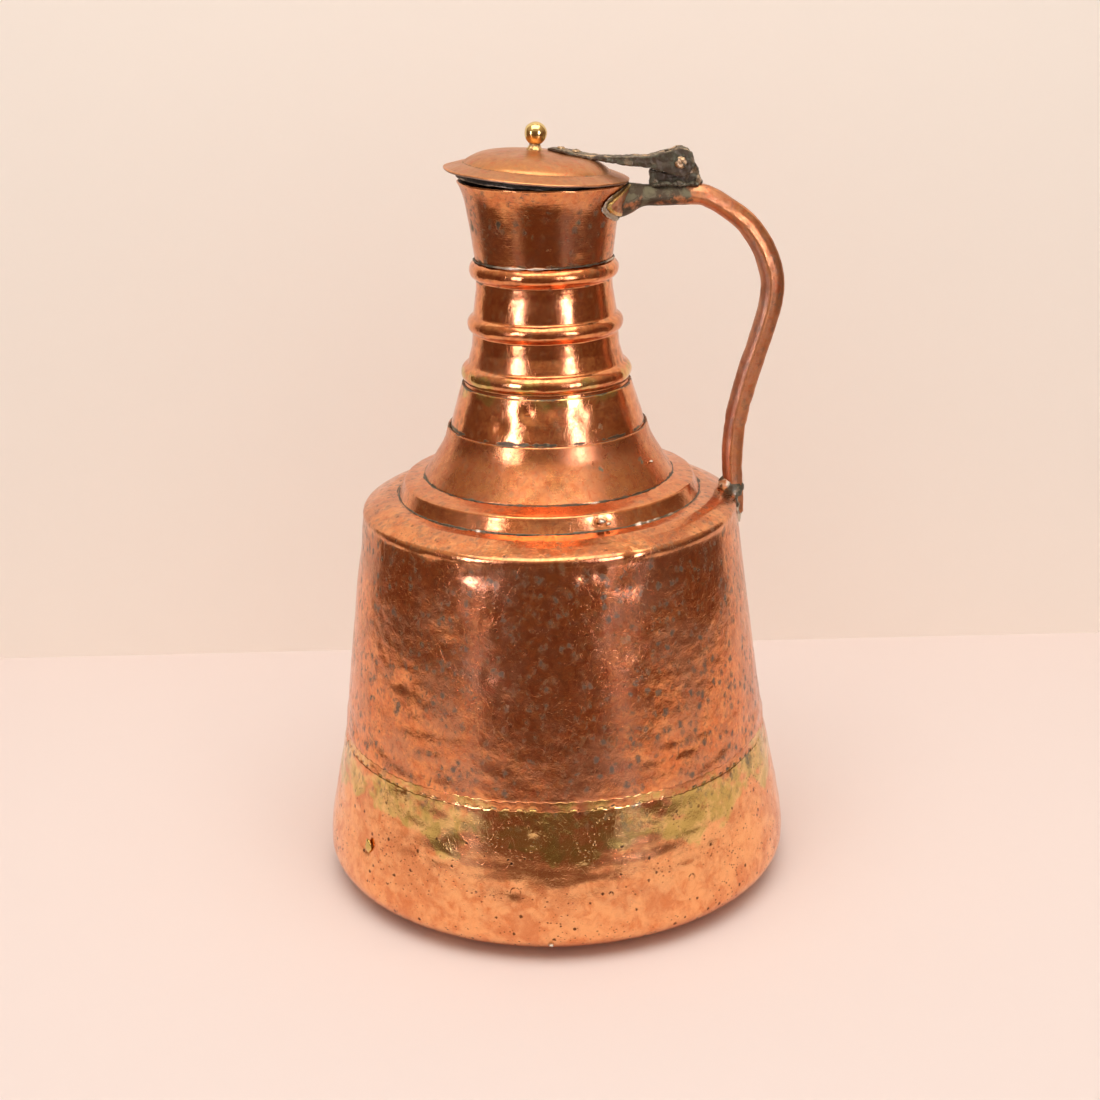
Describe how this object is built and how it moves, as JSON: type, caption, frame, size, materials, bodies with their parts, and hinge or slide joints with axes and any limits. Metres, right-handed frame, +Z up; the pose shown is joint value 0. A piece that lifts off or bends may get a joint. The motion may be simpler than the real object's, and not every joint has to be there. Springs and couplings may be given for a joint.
{
  "type": "copper water jug",
  "caption": "Tall copper water jug with a wide base, stepped shoulder, beaded neck, side handle and a hinged domed lid with a ball knob.",
  "frame": {"origin": "on the jug's axis, in the plane of the flat underside it stands on", "axes": "+Z up along the jug's axis, +X towards the handle and the lid hinge, +Y along the hinge pin"},
  "size_m": [0.3128, 0.3128, 0.499],
  "materials": {
    "body_copper": "hand-hammered copper, burnished, with dark and grey-green patina",
    "lid_copper": "satin copper",
    "handle_copper": "forged copper, rubbed bright on its edges",
    "hinge_metal": "rough, dark brown with verdigris",
    "knob_brass": "polished brass",
    "braze": "brass spelter, filed flush",
    "solder": "soft solder gone grey-green"
  },
  "bodies": {
    "jug": {"base_pan": "body_copper", "base_seam_braze": "braze", "body_shell": "body_copper", "step_ring": "body_copper", "step_solder": "solder", "neck_skirt": "body_copper", "skirt_solder": "solder", "neck_cone": "body_copper", "neck_tube": "body_copper", "collar": "body_copper", "collar_solder": "solder", "saddle_solder": "solder", "handle_saddle": "handle_copper", "handle": "handle_copper", "hinge_post": "hinge_metal", "hinge_pin": "hinge_metal"},
    "lid": {"lid_dome": "lid_copper", "lid_skirt": "lid_copper", "lid_strap": "hinge_metal", "strap_rivets": "hinge_metal", "knob": "knob_brass"}
  },
  "joints": [
    {"name": "lid_hinge", "type": "hinge", "parent": "jug", "child": "lid", "pos_m": [0.0857, 0, 0.473], "axis": [0, 1, 0], "range_deg": [0, 110]}
  ]
}
